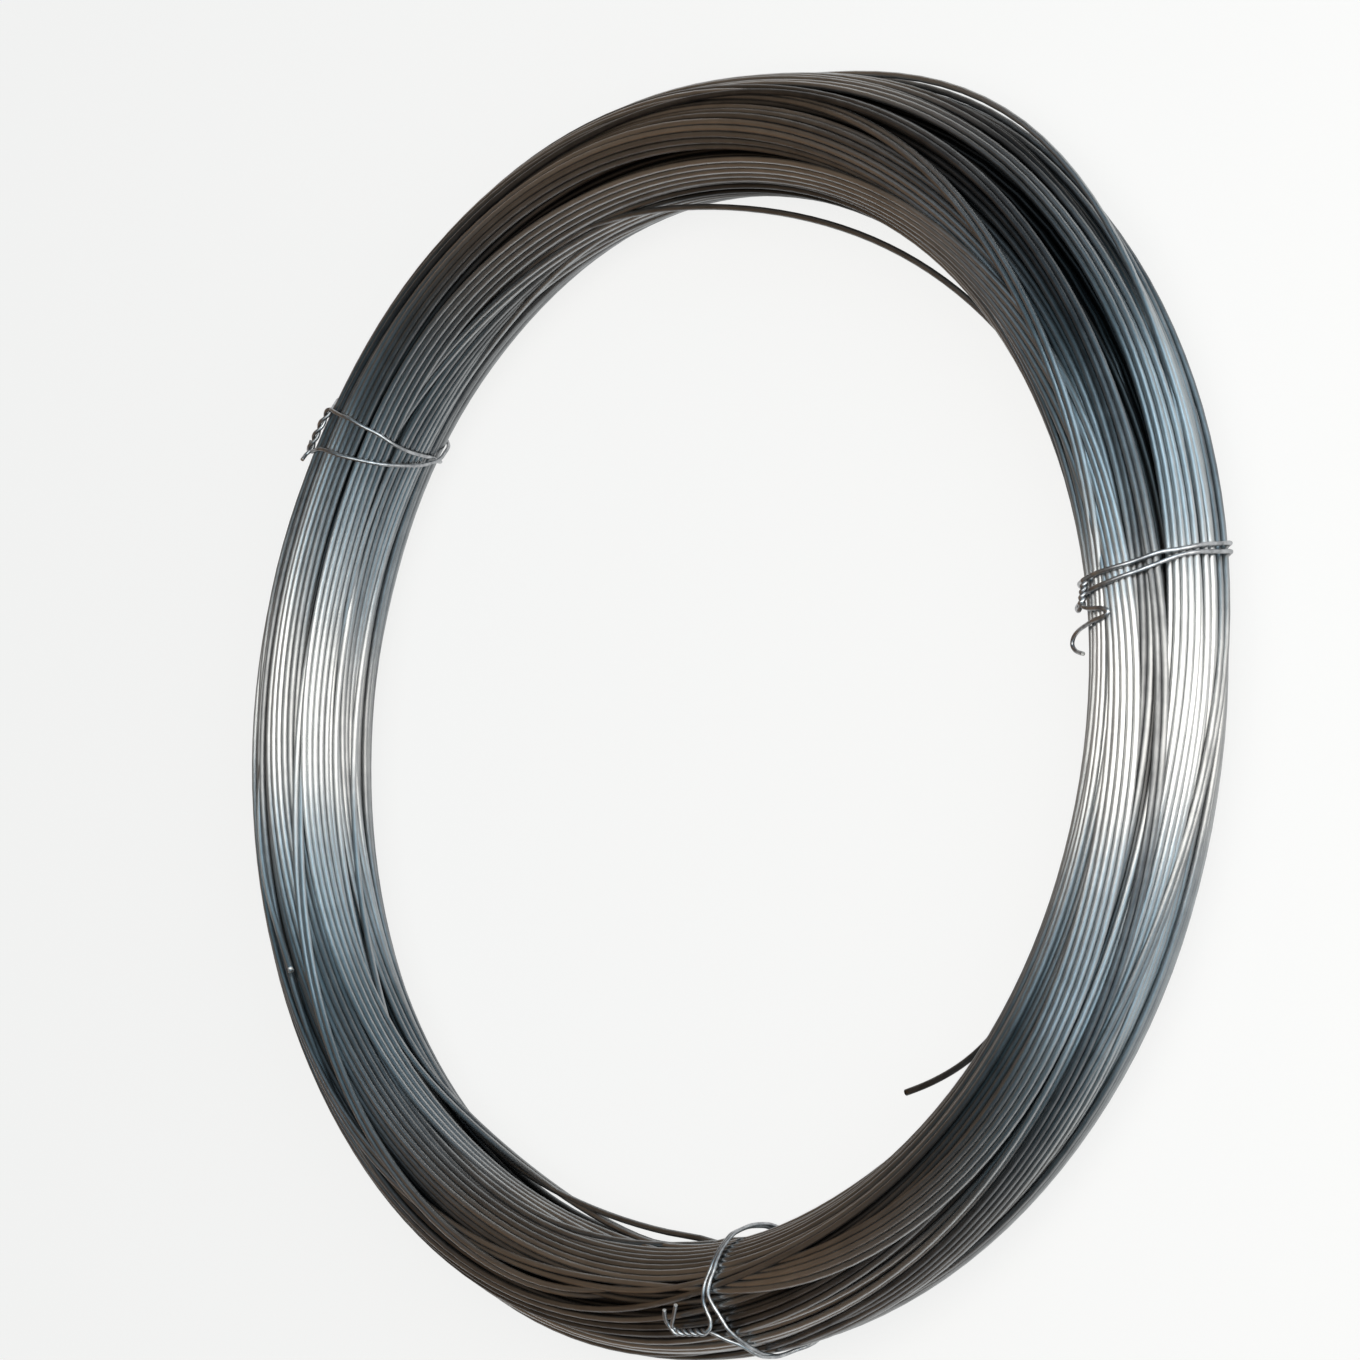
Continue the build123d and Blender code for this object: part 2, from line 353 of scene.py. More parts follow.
def fanSlide(section, around):
    # how far each turn has slid: along a lopsided hump round the coil, the turns of the face onto
    # its slope, the others straight outwards, most where they lay furthest out; and which turns
    # are the face's own, and which lie at the edge over it
    away = awayFrom(around, fan["furthest"])
    rising = 1 - np.clip(-away / fan["spans"][0], 0, 1) ** 1.5
    falling = np.cos(np.clip(away / fan["spans"][1], 0, 1) * np.pi / 2) ** 2
    hump = np.where(away < 0, rising, falling)
    middle = section[hump > fan["wellOut"]].mean(0)
    out, height = middle.T
    lay = np.degrees(np.arctan2(height / halfWidth, out / halfBuild))
    inwards = 1 - np.hypot(out / halfBuild, height / halfWidth)
    depth = inwards * (halfBuild + halfWidth) / 2 - 2 * wireRadius
    share = smoothStep(out, fan["slideFrom"], halfBuild)
    share = share * np.where(lay > fan["layFrom"], fan["heldBack"], 1)
    slid = np.stack([fan["standOut"] * share, 0 * share], -1)
    first, last = np.array(fan["faceFrom"]), np.array(fan["faceTo"])
    down = unit(last - first)
    along = (fan["layFrom"] - lay) / (fan["layFrom"] - fan["layTo"])
    goal = first + (last - first) * along[:, None] - np.array([-down[1], down[0]]) * depth[:, None]
    onFace = np.where((along > 0) & (along < 1), 1 - smoothStep(depth, *fan["faceDepth"]), 0)[:, None]
    moved = slid + onFace * (goal - middle - slid)
    uneven = 1 + sway(len(moved), around, fan["sway"]).T
    face = onFace[:, 0] > fan["mostly"]
    edge = (lay > fan["layFrom"]) & (lay < fan["edgeTo"]) & (depth < fan["faceDepth"][0])
    return hump[:, None, None] * moved[None] * uneven[..., None], face, edge


def standOff(section, around, rows, side, used):
    # the turns that lie nearest the bore or the outside stand off it along an arch, one under
    # another where a row has several
    for direction, halfSpan, gap, height, count in rows:
        here = int(np.argmin(np.abs(awayFrom(around, direction))))
        edge = section[here, :, 0] * side
        offHeight = np.abs(section[here, :, 1] - height)
        score = edge - slack["heightCounts"] * offHeight
        chosen = np.argsort(-np.where(np.isin(np.arange(len(edge)), used), -np.inf, score))[:count]
        others = np.setdiff1d(np.arange(len(edge)), np.concatenate([chosen, used]).astype(int))
        free = edge[others][offHeight[others] < slack["clearWithin"]].max()
        arch = bell(around, direction, halfSpan)[:, None]
        chosen = chosen[np.argsort(-section[here, chosen, 1])]
        section[:, chosen, 0] += side * (free + gap + coil["wireDia"] - edge[chosen])[None, :] * arch
        level = height - coil["wireDia"] * np.arange(count)
        section[:, chosen, 1] += (level - section[here, chosen, 1])[None, :] * arch
        used = np.concatenate([used, chosen]).astype(int)
    return section, used


def fineAlong(line, times):
    # Catmull-Rom curve through the places of one wire, a number of steps for each place
    before = np.concatenate([line[:1], line[:-1]])
    after = np.concatenate([line[1:], line[-1:]])
    after2 = np.concatenate([line[2:], line[-1:], line[-1:]])
    t = (np.arange(times) / times)[None, :, None]
    a, b, c, d = (part[:, None, :] for part in (before, line, after, after2))
    square, cube = 2 * a - 5 * b + 4 * c - d, 3 * b - a - 3 * c + d
    curve = 0.5 * (2 * b + (c - a) * t + square * t ** 2 + cube * t ** 3)
    return curve.reshape(-1, line.shape[1])[: (len(line) - 1) * times + 1]


def tube(path, radius, sides, towards):
    # a round wire: circles about the path, each across its heading, starting on the given side
    heading = unit(np.gradient(path, axis=0))
    across = unit(towards - (towards * heading).sum(-1, keepdims=True) * heading)
    beside = np.cross(heading, across)
    turn = 2 * np.pi * np.arange(sides) / sides
    ring = across[:, None, :] * np.cos(turn)[None, :, None]
    ring = ring + beside[:, None, :] * np.sin(turn)[None, :, None]
    return path[:, None, :] + radius * ring


def tubeFaces(rings, sides, start):
    # quads between neighbouring circles
    ring = np.arange(rings - 1)[:, None]
    side = np.arange(sides)[None, :]
    following = (side + 1) % sides
    quads = np.stack([ring * sides + side, ring * sides + following,
                      (ring + 1) * sides + following, (ring + 1) * sides + side], -1)
    return quads.reshape(-1, 4) + start


def addObject(name, data):
    # an object in the scene that holds this mesh, camera or lamp
    made = bpy.data.objects.new(name, data)
    bpy.context.scene.collection.objects.link(made)
    return made


def addMesh(name, vertices, quads, caps, along, tone, depth):
    # one mesh of quads and end faces, with its length along the wire, its tone with painted light and
    # shade, and how deep it lies, which sets painted shade, as attributes
    mesh = bpy.data.meshes.new(name)
    counts = [4] * len(quads) + [len(cap) for cap in caps]
    corners = np.concatenate([quads.ravel()] + [np.asarray(cap) for cap in caps])
    mesh.vertices.add(len(vertices))
    mesh.vertices.foreach_set("co", (vertices * metresPerMm).astype(np.float32).ravel())
    mesh.loops.add(len(corners))
    mesh.loops.foreach_set("vertex_index", corners.astype(np.int32))
    mesh.polygons.add(len(counts))
    starts = np.concatenate([[0], np.cumsum(counts)[:-1]])
    mesh.polygons.foreach_set("loop_start", starts.astype(np.int32))
    mesh.polygons.foreach_set("use_smooth", np.array([True] * len(quads) + [False] * len(caps)))
    mesh.update(calc_edges=True)
    for title, values in (("alongWire", along), ("toneAndPaintedLight", tone), ("recess", depth)):
        attribute = mesh.attributes.new(title, "FLOAT", "POINT")
        attribute.data.foreach_set("value", values.astype(np.float32))
    mesh.validate()
    return addObject(name, mesh)


def paintEnds(piece, finish, endFinish):
    # the finish along the wire, and another on its sheared ends, which are the only flat faces
    piece.data.materials.append(finish)
    piece.data.materials.append(endFinish)
    flat = ~np.array([face.use_smooth for face in piece.data.polygons])
    piece.data.polygons.foreach_set("material_index", flat.astype(np.int32))


def addWire(name, paths, radius, sides, tones, depths, towards):
    # one piece of several lengths of wire, each closed by a face at both ends
    vertices, quads, caps, along, tone, depth, start = [], [], [], [], [], [], 0
    for path, shade, deep, side in zip(paths, tones, depths, towards):
        skin = tube(path, radius, sides, side)
        quads.append(tubeFaces(len(path), sides, start))
        caps += [start + np.arange(sides)[::-1], start + (len(path) - 1) * sides + np.arange(sides)]
        vertices.append(skin.reshape(-1, 3))
        along.append(np.repeat(lengthAlong(path) * metresPerMm, sides))
        tone.append(np.repeat(np.broadcast_to(shade, len(path)), sides))
        depth.append(np.repeat(np.broadcast_to(deep, len(path)), sides))
        start += len(path) * sides
    return addMesh(name, np.concatenate(vertices), np.concatenate(quads), caps,
                   np.concatenate(along), np.concatenate(tone), np.concatenate(depth))


def insideBox(path, radius):
    # the path held where the wire's skin stays inside the box of the solids
    low, high = (np.array(corner) / metresPerMm for corner in cadBox)
    return np.clip(path, low + radius, high - radius)


around = 2 * np.pi * np.arange(coil["stations"]) / coil["stations"] + np.radians(coil["seam"])
turns, layers, bandOf = layTurns(around)
print("turns laid", len(turns), "by layer", np.bincount(layers))
section = turns.transpose(1, 0, 2)
section = section + rng.normal(0, coil["unevenness"], section.shape)
for step in range(coil["seamSteps"]):
    section = straighten(section, coil["seamShare"])
section = packTurns(section, around, bandOf, packing["steps"], 0, packing["draw"])
slide, onFace, atEdge = fanSlide(section, around)
section = packTurns(section + slide, around, bandOf, packing["fanSteps"], slide, 0)
section, used = standOff(section, around, slack["bore"], -1, np.array([], int))
section = standOff(section, around, slack["outside"], 1, used)[0]
print("turns packed")

# the whole wire as one line: its points, the way to the bundle's middle from each, tone and depth
fine = fineAlong(section.transpose(1, 0, 2).reshape(-1, 2), coil["finer"])
station = np.arange(len(fine)) / coil["finer"]
further, over = coil["endDrawnIn"]
fine *= 1 - further * np.clip(1 - station[:, None] / over, 0, 1) ** 2
angle = 2 * np.pi * station / coil["stations"] + np.radians(coil["seam"])
radius = middleRadius + fine[:, 0]
points = np.stack([radius * np.cos(angle), radius * np.sin(angle), middleHeight + fine[:, 1]], -1)
points = insideBox(points, wireRadius)
inwards = np.stack([-fine[:, 0] * np.cos(angle), -fine[:, 0] * np.sin(angle), -fine[:, 1]], -1)
perTurn = coil["stations"] * coil["finer"]

# How bright the turns are, from 0 to 1: a tone drawn at random, with painted light on the fan's face and
# painted shade on the edge over it
brightness = {
    "ownShare": 0.6,             # share drawn for each turn
    "bandShare": 0.4,            # share drawn for its whole band
    "face": (0.7, 0.3),          # painted light on the fan's face: it starts here, and this share of the draw is added
    "edge": 0.25,                # painted shade on the edge over the face: share of the draw left to it
}
bandTone = rng.uniform(0, 1, bandOf.max() + 1)
ownTone = rng.uniform(0, 1, len(turns))
toneAndPaintedLight = brightness["ownShare"] * ownTone + brightness["bandShare"] * bandTone[bandOf]
paintedFaceLight = brightness["face"][0] + brightness["face"][1] * toneAndPaintedLight
# painted light makes the turns of the fan's face paler, and painted shade makes the edge over it darker
toneAndPaintedLight = np.where(onFace, paintedFaceLight, np.where(atEdge, brightness["edge"] * toneAndPaintedLight, toneAndPaintedLight))
toneAndLightAlong = np.interp(np.arange(len(fine)) / perTurn, np.arange(len(turns)) + 0.5, toneAndPaintedLight)
# how deep each point lies, which the finish turns into painted shade between the turns
depthAlong = fineAlong(recessed(section).T.reshape(-1, 1), coil["finer"])[:, 0]

stretches = []
for layer in range(coil["layersShown"]):
    rows = np.nonzero(layers == layer)[0]
    last = min((rows[-1] + 1) * perTurn + 1, len(points))
    stretches.append((f"coil_turns_layer_{layer + 1}", slice(rows[0] * perTurn, last), coil["sides"][layer]))
within = np.nonzero(layers >= coil["layersShown"])[0][0] * perTurn
stretches.append(("coil_turns_within", slice(within, len(points), coil["everyWithin"]), coil["sidesWithin"]))
pieces = []
for name, part, sides in stretches:
    pieces.append(addWire(name, [points[part]], wireRadius, sides, [toneAndLightAlong[part]], [depthAlong[part]],
                          [inwards[part]]))
print("triangles", [2 * len(piece.data.polygons) for piece in pieces])


# Tie wires: each goes twice round the bundle, and its two ends are twisted together.
# Every point of a tie or a wire end is: degrees round the bundle from its outside over the top
# and the bore, millimetres along the coil from the tie's direction, millimetres off the turns.
tieShape = {
    "wireDia": 1.6,
    "clearance": 0.1,            # between a tie and the turns that it lies on
    "sides": 10,                 # flats round the wire
    "step": 0.5,                 # length between two points of its path
    "finer": (8, 10),            # points for each one given of the twist and the ends, and of the round
    "soften": 2,                 # times that the path is softened
    "twistSpread": 1.12,         # from the twist's axis to a strand, in the wire's radii
    "floorFrom": 0.7,            # this share of the half width under the middle it nears the floor,
    "floorOver": 0.25,           # and this share further down it lies there
}
ties = [
    {
        "name": "tie_wire_1",
        "direction": coil["tieDirections"][0],
        "twist": [(114, -1.5, 1.6), (119, -5.5, 1.8), (123, -10.5, 2.2)],
        "turns": 2.3,
        "round": [(104, -0.5, 0.3), (70, 0.2, 0), (40, 2.6, 0), (25, 3.2, 0), (-4, 5.5, 0.3),
                  (-39, 8.0, 0.2), (-90, 6.5, 0), (-140, 3.0, 0), (-172, -0.5, 0.2), (-205, -4.0, 0.2),
                  (-235, -5.5, 0.3), (-262, -5.2, 0.2), (-289, -3.6, 0), (-312, -1.6, 0), (-335, 1.3, 0),
                  (-363, 2.9, 0.2), (-398, 5.0, 0.2), (-450, 3.6, 0), (-500, 2.2, 0.9),
                  (-530, 1.2, 2.0), (-570, 0.4, 1.4), (-600, -0.8, 0.5)],
        "ends": [[(131, -11.5, 2.4), (140, -9.5, 2.8), (146, -7.5, 2.4)],
                 [(112, -12.4, 1.0), (98, -13.4, 0.4), (89, -15.0, 0.2), (95, -16.6, 0.3),
                  (108, -17.2, 0.5), (122, -17.8, 1.0), (136, -18.6, 2.6), (143, -20.6, 4.6),
                  (145, -23.6, 5.2), (140, -26.4, 3.6), (128, -28.2, 1.6)]],
    },
    {
        "name": "tie_wire_2",
        "direction": coil["tieDirections"][1],
        "twist": [(63, -5.5, 0.9), (59, 4.0, 1.2), (54, 13.0, 1.1)],
        "turns": 1.6,
        "round": [(66, -6.8, 0.9), (84, -8.2, 0.1), (102, -10, 0), (122, -10.5, 0), (136, -10.5, 0),
                  (160, -8.4, 0.2), (184, -7.4, 0.2), (202, -6.4, 0.2), (220, -3.4, 0), (270, 2.5, 0),
                  (320, 9.0, 0), (352, 12.6, 0), (388, 14.2, 0.1), (412, 14.2, 0.1), (430, 11.0, 0),
                  (446, 8.2, 0), (467, 6.4, 0), (484, 4.6, 0), (510, 1.8, 0), (532, -1.0, 0.2),
                  (550, -3.2, 0.8), (565, -6.8, 2.1), (578, -9.6, 1.0), (600, -9.8, 0), (640, -9.2, 0),
                  (690, -8.4, 0), (720, -8.0, 0.1), (752, -7.2, 0.2)],
        "ends": [[(55, 15.4, 1.8), (61, 17.6, 3.0)], [(48, 14.6, 1.6), (40, 14.0, 2.4), (37, 11.6, 3.0)]],
    },
    {
        "name": "tie_wire_3",
        "direction": coil["tieDirections"][2],
        "twist": [(57, 4.4, 1.1), (59, -2.5, 1.5), (61, -9.5, 1.7)],
        "turns": 2.4,
        "round": [(60, 6.8, 0.9), (67, 7.4, 0.2), (77, 6.6, 0), (85, 6.6, 0), (98, 8.5, 0), (111, 10.5, 0.1),
                  (122, 11.2, 0.2), (140, 11.2, 0.5), (155, 11.8, 1.5), (172, 13.0, 2.3), (190, 14.6, 2.1),
                  (208, 16.8, 1.1), (228, 19.0, 0.3), (270, 21.5, 0), (312, 22.0, 0), (336, 20.0, 0.1),
                  (352, 16.4, 0.4), (378, 15.6, 0.2), (396, 15.0, 0), (411, 14.0, 0), (428, 12.2, 0),
                  (440, 10.6, 0), (450, 9.9, 0.1), (460, 11.2, 0), (472, 12.9, 0.1), (484, 13.0, 0.3),
                  (500, 12.9, 0.6), (516, 13.6, 1.7), (534, 14.8, 2.8), (552, 16.4, 2.6), (570, 18.5, 1.3),
                  (590, 20.7, 0.3), (632, 23.4, 0), (672, 24.0, 0), (696, 21.8, 0.1), (712, 18.0, 0.3),
                  (736, 15.2, 1.2), (753, 13.2, 0.1), (763, 10.2, 0.1), (772, 7.4, 0.4)],
        "ends": [[(66, -10.2, 2.2), (75, -7.0, 3.4), (85, -3.4, 4.4)],
                 [(68, -11.4, 2.4), (75, -11.0, 3.6), (82, -9.8, 4.2)]],
    },
]
tieRadius = tieShape["wireDia"] / 2

# The coil wire's two ends: one springs off the bore into the eye, the other lies along the crown
endShape = {"sides": 16, "step": 2, "finer": 8, "soften": 4}
# each end's recess sets how much painted shade its finish gets
wireEnds = [
    {
        "direction": -48.0,
        "way": [(172, 152, -6.0), (172, 120, -2.6), (173, 96, -0.4), (173, 74, 0.2), (173, 52, 1.0),
                (173, 34, 4.0), (173, 16, 9.1), (173, 0, 14.6)],
        "tone": 0.3,
        "recess": 0.3,
    },
    {
        "direction": -150.5,
        "way": [(72, -112, -6.0), (74, -84, -2.6), (78, -60, -0.5), (83, -36, 0.1), (88, -16, 0.2),
                (91, 0, 0.5)],
        "tone": 0.6,
        "recess": 0,
    },
]


def hullAround(direction, offset):
    # the outline of the stations near one direction, in their order along the coil
    away = awayFrom(around, direction)
    order = np.argsort(away)
    order = order[np.abs(away[order]) < hullSpan]
    return away[order], hullReach(section[order], offset)


def onHull(points, direction, hull):
    # points of a tie or wire end, as round, along and off, to their places in space: the degrees
    # round count on an ellipse a little outside the bundle's, and the distance from the middle is
    # read between the two nearest stations and directions of the outline
    rim = 1
    aways, reach = hull
    way, along, off = np.asarray(points, float).T
    turned = np.degrees(along / middleRadius)
    rise, out = (halfWidth + rim) * np.sin(np.radians(way)), (halfBuild + rim) * np.cos(np.radians(way))
    facing = np.arctan2(rise, out)
    station = np.interp(turned, aways, np.arange(len(aways)))
    low = np.clip(station.astype(int), 0, len(aways) - 2)
    column = (np.degrees(facing) % 360) / hullStep
    left = column.astype(int)
    share, part = station - low, column - left
    left, right = left % reach.shape[1], (left + 1) % reach.shape[1]
    here = reach[low, left] * (1 - part) + reach[low, right] * part
    there = reach[low + 1, left] * (1 - part) + reach[low + 1, right] * part
    distance = here * (1 - share) + there * share + off
    turn = np.radians(direction + turned)
    radius = middleRadius + distance * np.cos(facing)
    height = middleHeight + distance * np.sin(facing)
    return np.stack([radius * np.cos(turn), radius * np.sin(turn), height], -1)


def evenly(path, step):
    # the same path with its points one step apart, and at least four of them
    length = lengthAlong(path)
    places = np.linspace(0, length[-1], max(4, int(length[-1] / step)))
    return np.stack([np.interp(places, length, path[:, axis]) for axis in range(3)], -1)


def soften(path, passes):
    # each pass moves every point but the ends to the mean of itself, twice, and its neighbours
    for step in range(passes):
        path[1:-1] = (path[:-2] + 2 * path[1:-1] + path[2:]) / 4
    return path


def tieWay(tie):
    # one wire from tip to tip: an end, its helix round the twist's axis, twice round the bundle,
    # then the helix on the other side of the axis and the other end
    hull = hullAround(tie["direction"], wireRadius + tieRadius + tieShape["clearance"])
    finer, finerRound = tieShape["finer"]
    axis = onHull(fineAlong(np.array(tie["twist"], float), finer), tie["direction"], hull)
    axis = evenly(axis, tieShape["step"])
    heading = unit(np.gradient(axis, axis=0))
    middle = np.array([middleRadius * np.cos(np.radians(tie["direction"])),
                       middleRadius * np.sin(np.radians(tie["direction"])), middleHeight])
    outwards = unit(axis - middle)
    outwards = unit(outwards - (outwards * heading).sum(-1, keepdims=True) * heading)
    beside = np.cross(heading, outwards)
    turned = 2 * np.pi * tie["turns"] * np.linspace(0, 1, len(axis))[:, None]
    spread = tieRadius * tieShape["twistSpread"]
    strands = [axis + spread * (np.cos(turned + phase) * outwards + np.sin(turned + phase) * beside)
               for phase in (0, np.pi)]
    tips = [onHull(end, tie["direction"], hull) for end in tie["ends"]]
    tails = [fineAlong(np.concatenate([strand[-1:], tip]), finer) for strand, tip in zip(strands, tips)]
    loops = onHull(fineAlong(np.array(tie["round"], float), finerRound), tie["direction"], hull)
    under, over = tieShape["floorFrom"] * halfWidth, tieShape["floorOver"] * halfWidth
    low = np.clip(middleHeight - loops[:, 2] - under, 0, over) / over
    loops[:, 2] -= low * (loops[:, 2].min() - tieRadius)
    way = np.concatenate([tails[0][::-1], strands[0][::-1], loops, strands[1], tails[1]])
    return soften(evenly(way, tieShape["step"]), tieShape["soften"]), middle


tiePieces = []
for tie in ties:
    way, middle = tieWay(tie)
    way = insideBox(way, tieRadius)
    tone, recess = [0.5], [0]    # the ties' finish reads neither
    tiePieces.append(addWire(tie["name"] + "_wound", [way], tieRadius, tieShape["sides"], tone, recess,
                             [way - middle]))
    print(tie["name"], "wire length", round(float(lengthAlong(way)[-1])), "mm")

ends = []
for end in wireEnds:
    hull = hullAround(end["direction"], 2 * wireRadius)
    way = onHull(fineAlong(np.array(end["way"], float), endShape["finer"]), end["direction"], hull)
    ends.append(soften(evenly(way, endShape["step"]), endShape["soften"]))
upwards = [[0, 0, 1.0]] * len(ends)
endPiece = addWire("coil_wire_ends", ends, wireRadius, endShape["sides"], [end["tone"] for end in wireEnds],
                   [end["recess"] for end in wireEnds], upwards)
print("ties and wire ends made")


def linear(hexColour):
    # sRGB hex to linear light, with full alpha
    values = np.array([int(hexColour[place:place + 2], 16) for place in (1, 3, 5)]) / 255
    values = np.where(values <= 0.04045, values / 12.92, ((values + 0.055) / 1.055) ** 2.4)
    return (*map(float, values), 1.0)


def newMaterial(name):
    # a material with an empty node tree
    material = bpy.data.materials.new(name)
    material.use_nodes = True
    material.node_tree.nodes.clear()
    return material


def addNode(material, kind, settings=None, **sockets):
    # one node: its settings by name, and each socket a value or the output that feeds it, where
    # _0 is the first socket, for nodes whose sockets share a name
    tree = material.node_tree
    node = tree.nodes.new(kind)
    for title, value in (settings or {}).items():
        setattr(node, title, value)
    for title, value in sockets.items():
        key = int(title[1:]) if title[0] == "_" and title[1:].isdigit() else title.replace("_", " ")
        if isinstance(value, bpy.types.NodeSocket):
            tree.links.new(value, node.inputs[key])
        else:
            node.inputs[key].default_value = value
    return node


def setShades(ramp, shades):
    # the colours of a colour ramp, each at its place from 0 to 1
    colours = ramp.color_ramp.elements
    for where, shade in shades[1:-1]:
        colours.new(where).color = linear(shade)
    for end in (0, -1):
        colours[end].position = shades[end][0]
        colours[end].color = linear(shades[end][1])


reliefDepth = 0.0001             # height of the fine relief on every finish

drawnZinc = {
    "lineLength": 0.05,          # drawing lines
    "lineWidth": 0.0011,         # wider than the real ones, which are too fine to show
    "lineShare": 0.5,            # share of the tone that follows them
    "lineRelief": 0.2,
    "spangle": 0.009,            # size of the zinc's cloudy patches
    "spangleShare": 0.35,        # share of the tone that follows those
    "toneSpan": (0.35, 1.5),     # tones of the darkest and the palest shade
    "shades": ((0, "#4c4e51"), (1, "#cccfd0")),
    "recessShade": "#2b2a29",          # painted shade on the turns that lie deep, darker the deeper they lie
    "recessShadeShare": 0.9,
    "roughness": (0.4, 0.31),    # of the darkest and the palest shade
    "anisotropic": 0.9,
    "quarterTurn": 0.25,         # turns the highlight from along the wire to across it
}


def drawnZincSteel():
    # high-tensile steel wire, hot-dip galvanised and then drawn: satin zinc grey with long drawing
    # lines, which spread a highlight across the wire and keep it short along it
    material = newMaterial("drawn galvanised steel")
    place = addNode(material, "ShaderNodeTexCoord")
    # the tone holds painted light on the fan's face and painted shade on the edge over it
    tone = addNode(material, "ShaderNodeAttribute", {"attribute_name": "toneAndPaintedLight"})
    length = addNode(material, "ShaderNodeAttribute", {"attribute_name": "alongWire"})
    depth = addNode(material, "ShaderNodeAttribute", {"attribute_name": "recess"})
    split = addNode(material, "ShaderNodeSeparateXYZ", Vector=place.outputs["Object"])
    flat = addNode(material, "ShaderNodeVectorMath", {"operation": "MULTIPLY"}, _0=place.outputs["Object"],
                   _1=(1, 1, 0))
    radius = addNode(material, "ShaderNodeVectorMath", {"operation": "LENGTH"}, _0=flat.outputs["Vector"])
    lengthwise = addNode(material, "ShaderNodeMath", {"operation": "DIVIDE"}, _0=length.outputs["Fac"],
                         _1=drawnZinc["lineLength"])
    across = addNode(material, "ShaderNodeMath", {"operation": "DIVIDE"}, _0=radius.outputs["Value"],
                     _1=drawnZinc["lineWidth"])
    upright = addNode(material, "ShaderNodeMath", {"operation": "DIVIDE"}, _0=split.outputs["Z"],
                      _1=drawnZinc["lineWidth"])
    drawn = addNode(material, "ShaderNodeCombineXYZ", X=lengthwise.outputs[0], Y=across.outputs[0],
                    Z=upright.outputs[0])
    lines = addNode(material, "ShaderNodeTexNoise", Vector=drawn.outputs[0], Scale=1.0, Detail=2.0)
    cloud = addNode(material, "ShaderNodeTexNoise", Vector=place.outputs["Object"],
                    Scale=1 / drawnZinc["spangle"], Detail=3.0, Roughness=0.6)
    mixed = addNode(material, "ShaderNodeMath", {"operation": "MULTIPLY_ADD"}, _0=cloud.outputs["Fac"],
                    _1=drawnZinc["spangleShare"], _2=tone.outputs["Fac"])
    worn = addNode(material, "ShaderNodeMath", {"operation": "MULTIPLY_ADD"}, _0=lines.outputs["Fac"],
                   _1=drawnZinc["lineShare"], _2=mixed.outputs[0])
    shade = addNode(material, "ShaderNodeMapRange", Value=worn.outputs[0],
                    From_Min=drawnZinc["toneSpan"][0], From_Max=drawnZinc["toneSpan"][1])
    colour = addNode(material, "ShaderNodeValToRGB", Fac=shade.outputs[0])
    setShades(colour, drawnZinc["shades"])
    # painted shade: turns that lie under the outline are mixed towards a dark colour, as if shaded by the
    # turns over them
    recessShade = addNode(material, "ShaderNodeMath", {"operation": "MULTIPLY"}, _0=depth.outputs["Fac"],
                    _1=drawnZinc["recessShadeShare"])
    shadedColour = addNode(material, "ShaderNodeMix", {"data_type": "RGBA"}, _0=recessShade.outputs[0],
                     _6=colour.outputs[0], _7=linear(drawnZinc["recessShade"]))
    rough = addNode(material, "ShaderNodeMapRange", Value=shade.outputs[0],
                    To_Min=drawnZinc["roughness"][0], To_Max=drawnZinc["roughness"][1])
    relief = addNode(material, "ShaderNodeBump", Height=lines.outputs["Fac"],
                     Strength=drawnZinc["lineRelief"], Distance=reliefDepth)
    roundCoil = addNode(material, "ShaderNodeTangent", {"direction_type": "RADIAL", "axis": "Z"})
    shader = addNode(material, "ShaderNodeBsdfPrincipled", Metallic=1.0, Roughness=rough.outputs[0],
                     Base_Color=shadedColour.outputs[2], Normal=relief.outputs[0],
                     Anisotropic=drawnZinc["anisotropic"], Anisotropic_Rotation=drawnZinc["quarterTurn"],
                     Tangent=roundCoil.outputs[0])
    addNode(material, "ShaderNodeOutputMaterial", Surface=shader.outputs[0])
    return material


tieZinc = {
    "patch": 0.004,              # size of the cloudy patches
    "shades": ((0.3, "#7c7e81"), (0.62, "#bcbec0")),
    "roughness": (0.5, 0.26),    # of the dull patches and the bright ones
    "relief": 0.3,
}


def tieZincIron():
    # soft annealed iron wire with a bright zinc coat: paler and smoother than the coil's own wire,
    # with cloudy dull patches where it was bent and handled
    material = newMaterial("galvanised annealed tie wire")
    place = addNode(material, "ShaderNodeTexCoord")
    cloud = addNode(material, "ShaderNodeTexNoise", Vector=place.outputs["Object"],
                    Scale=1 / tieZinc["patch"], Detail=4.0, Roughness=0.65)
    colour = addNode(material, "ShaderNodeValToRGB", Fac=cloud.outputs["Fac"])
    setShades(colour, tieZinc["shades"])
    rough = addNode(material, "ShaderNodeMapRange", Value=cloud.outputs["Fac"],
                    To_Min=tieZinc["roughness"][0], To_Max=tieZinc["roughness"][1])
    relief = addNode(material, "ShaderNodeBump", Height=cloud.outputs["Fac"], Strength=tieZinc["relief"],
                     Distance=reliefDepth)
    shader = addNode(material, "ShaderNodeBsdfPrincipled", Metallic=1.0, Roughness=rough.outputs[0],
                     Base_Color=colour.outputs[0], Normal=relief.outputs[0])
    addNode(material, "ShaderNodeOutputMaterial", Surface=shader.outputs[0])
    return material


shearedFace = {
    "shearStep": 0.0003,         # from one step that the shear leaves to the next
    "shades": ((0, "#9a9a98"), (1, "#dededb")),
    "roughness": 0.42,
    "relief": 0.5,
}


